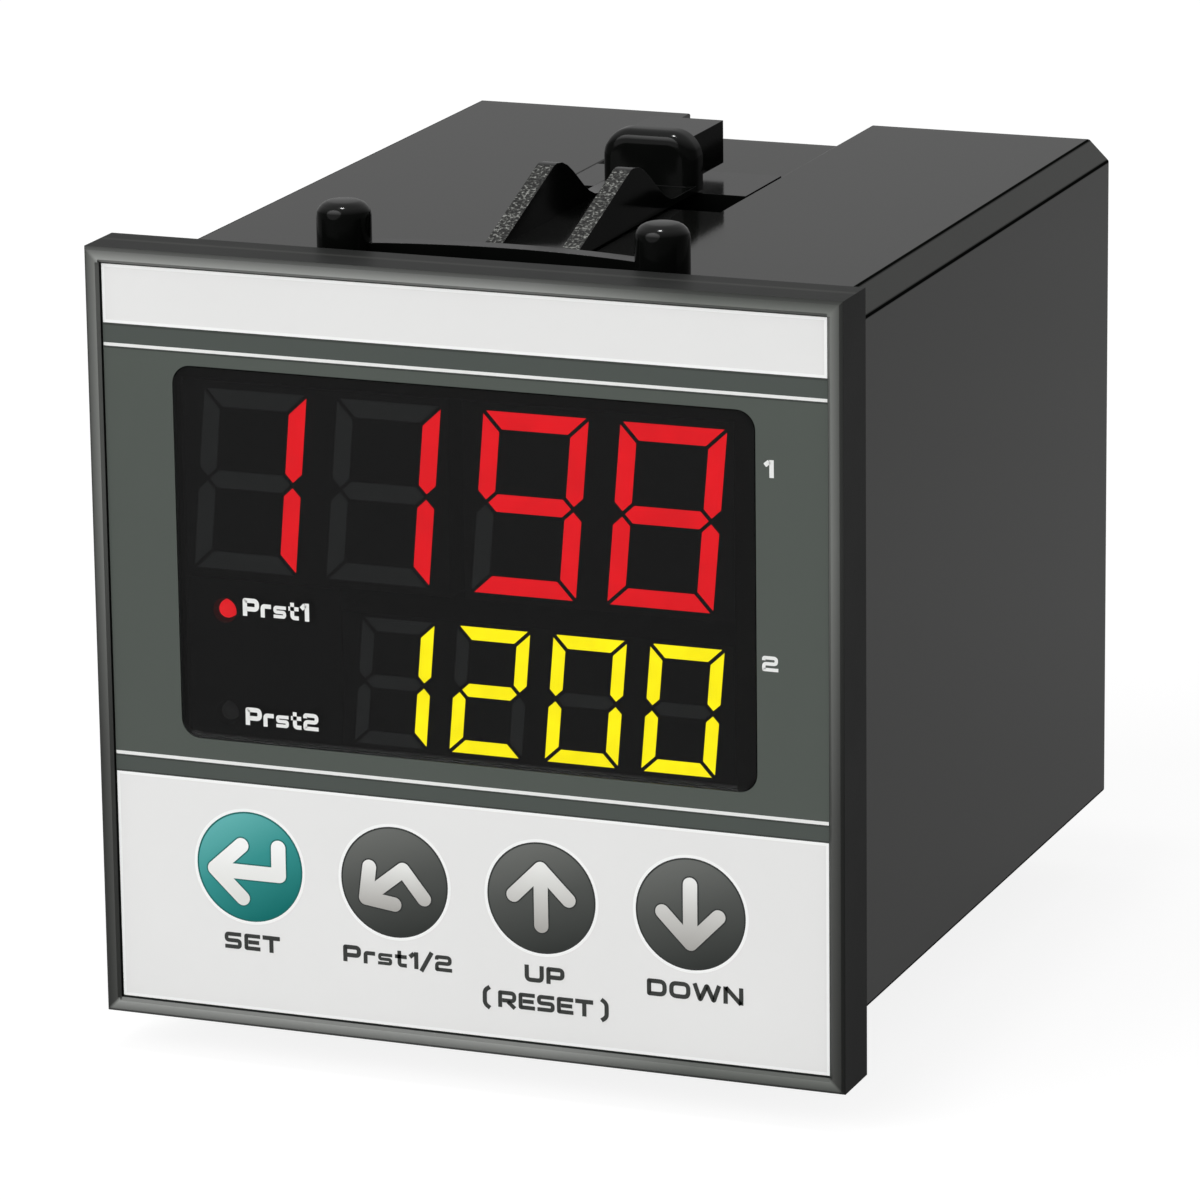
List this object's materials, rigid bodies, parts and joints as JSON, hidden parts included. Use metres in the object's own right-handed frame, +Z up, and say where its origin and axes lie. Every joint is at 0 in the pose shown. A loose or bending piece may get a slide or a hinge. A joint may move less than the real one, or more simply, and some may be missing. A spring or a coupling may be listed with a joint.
{
  "type": "panel counter",
  "caption": "Square panel counter: framed front with lit digit displays and membrane keys, deep grey case, rear screw terminals, and sliding clips that hold it in a panel cut-out.",
  "frame": {"origin": "centre of the front frame's back face, in the plane of the panel", "axes": "+X to the right as seen from the front, +Y to the rear through the panel, +Z up"},
  "size_m": [0.072, 0.0841, 0.0794],
  "materials": {
    "case": "fine satin grain",
    "frame": "satin",
    "sheet": "printed film, pale fields on dark grey",
    "window": "smoked, smooth",
    "display_black": "matt black face",
    "red_lit": "lit diffuser",
    "yellow_lit": "lit diffuser",
    "dark_segment": "unlit diffuser",
    "lamp_lit": "lit lamp",
    "lamp_dark": "unlit lamp",
    "board": "coated laminate",
    "steel": "zinc plated",
    "cage": "tinned",
    "plunger": "moulded",
    "stem": "moulded",
    "switch": "moulded",
    "connector": "moulded",
    "core": "stacked sheet",
    "bobbin": "moulded",
    "winding": "enamelled wire",
    "relay": "moulded",
    "capacitor": "sleeved",
    "terminal": "moulded",
    "clip": "glossy black"
  },
  "bodies": {
    "housing": {"case": "case", "bezel": "frame", "overlay": "sheet", "display_window": "window", "count_display_left": "display_black", "count_display_right": "display_black", "preset_display": "display_black", "lamp_holder": "display_black", "count_lit_segments": "red_lit", "preset_lit_segments": "yellow_lit", "count_dark_segments": "dark_segment", "preset_dark_segments": "dark_segment", "preset_1_lamp": "lamp_lit", "preset_2_lamp": "lamp_dark", "display_board": "board", "logic_board": "board", "supply_board": "board", "display_board_screws": "steel", "upper_screws": "steel", "lower_screws": "steel", "upper_cages": "cage", "lower_cages": "cage", "set_switch": "switch", "preset_switch": "switch", "up_switch": "switch", "down_switch": "switch", "logic_header": "connector", "supply_header": "connector", "logic_socket": "connector", "supply_socket": "connector", "microcontroller": "connector", "transformer_core": "core", "transformer_bobbin": "bobbin", "transformer_winding": "winding", "relay_1": "relay", "relay_2": "relay", "capacitor_1": "capacitor", "capacitor_2": "capacitor", "upper_terminals": "terminal", "lower_terminals": "terminal"},
    "clip_upper": {"upper_clip": "clip"},
    "clip_lower": {"lower_clip": "clip"},
    "key_set": {"set_key": "plunger", "set_stem": "stem"},
    "key_preset": {"preset_key": "plunger", "preset_stem": "stem"},
    "key_up": {"up_key": "plunger", "up_stem": "stem"},
    "key_down": {"down_key": "plunger", "down_stem": "stem"}
  },
  "joints": [
    {"name": "upper_clip_slide", "type": "slide", "parent": "housing", "child": "clip_upper", "axis": [0, 1, 0], "range_m": [-0.001, 0.03]},
    {"name": "lower_clip_slide", "type": "slide", "parent": "housing", "child": "clip_lower", "axis": [0, 1, 0], "range_m": [-0.007, 0.024]},
    {"name": "set_key_press", "type": "slide", "parent": "housing", "child": "key_set", "axis": [0, 1, 0], "range_m": [0, 0.0003], "stiffness_N_per_m": 500},
    {"name": "preset_key_press", "type": "slide", "parent": "housing", "child": "key_preset", "axis": [0, 1, 0], "range_m": [0, 0.0003], "stiffness_N_per_m": 500},
    {"name": "up_key_press", "type": "slide", "parent": "housing", "child": "key_up", "axis": [0, 1, 0], "range_m": [0, 0.0003], "stiffness_N_per_m": 500},
    {"name": "down_key_press", "type": "slide", "parent": "housing", "child": "key_down", "axis": [0, 1, 0], "range_m": [0, 0.0003], "stiffness_N_per_m": 500}
  ]
}
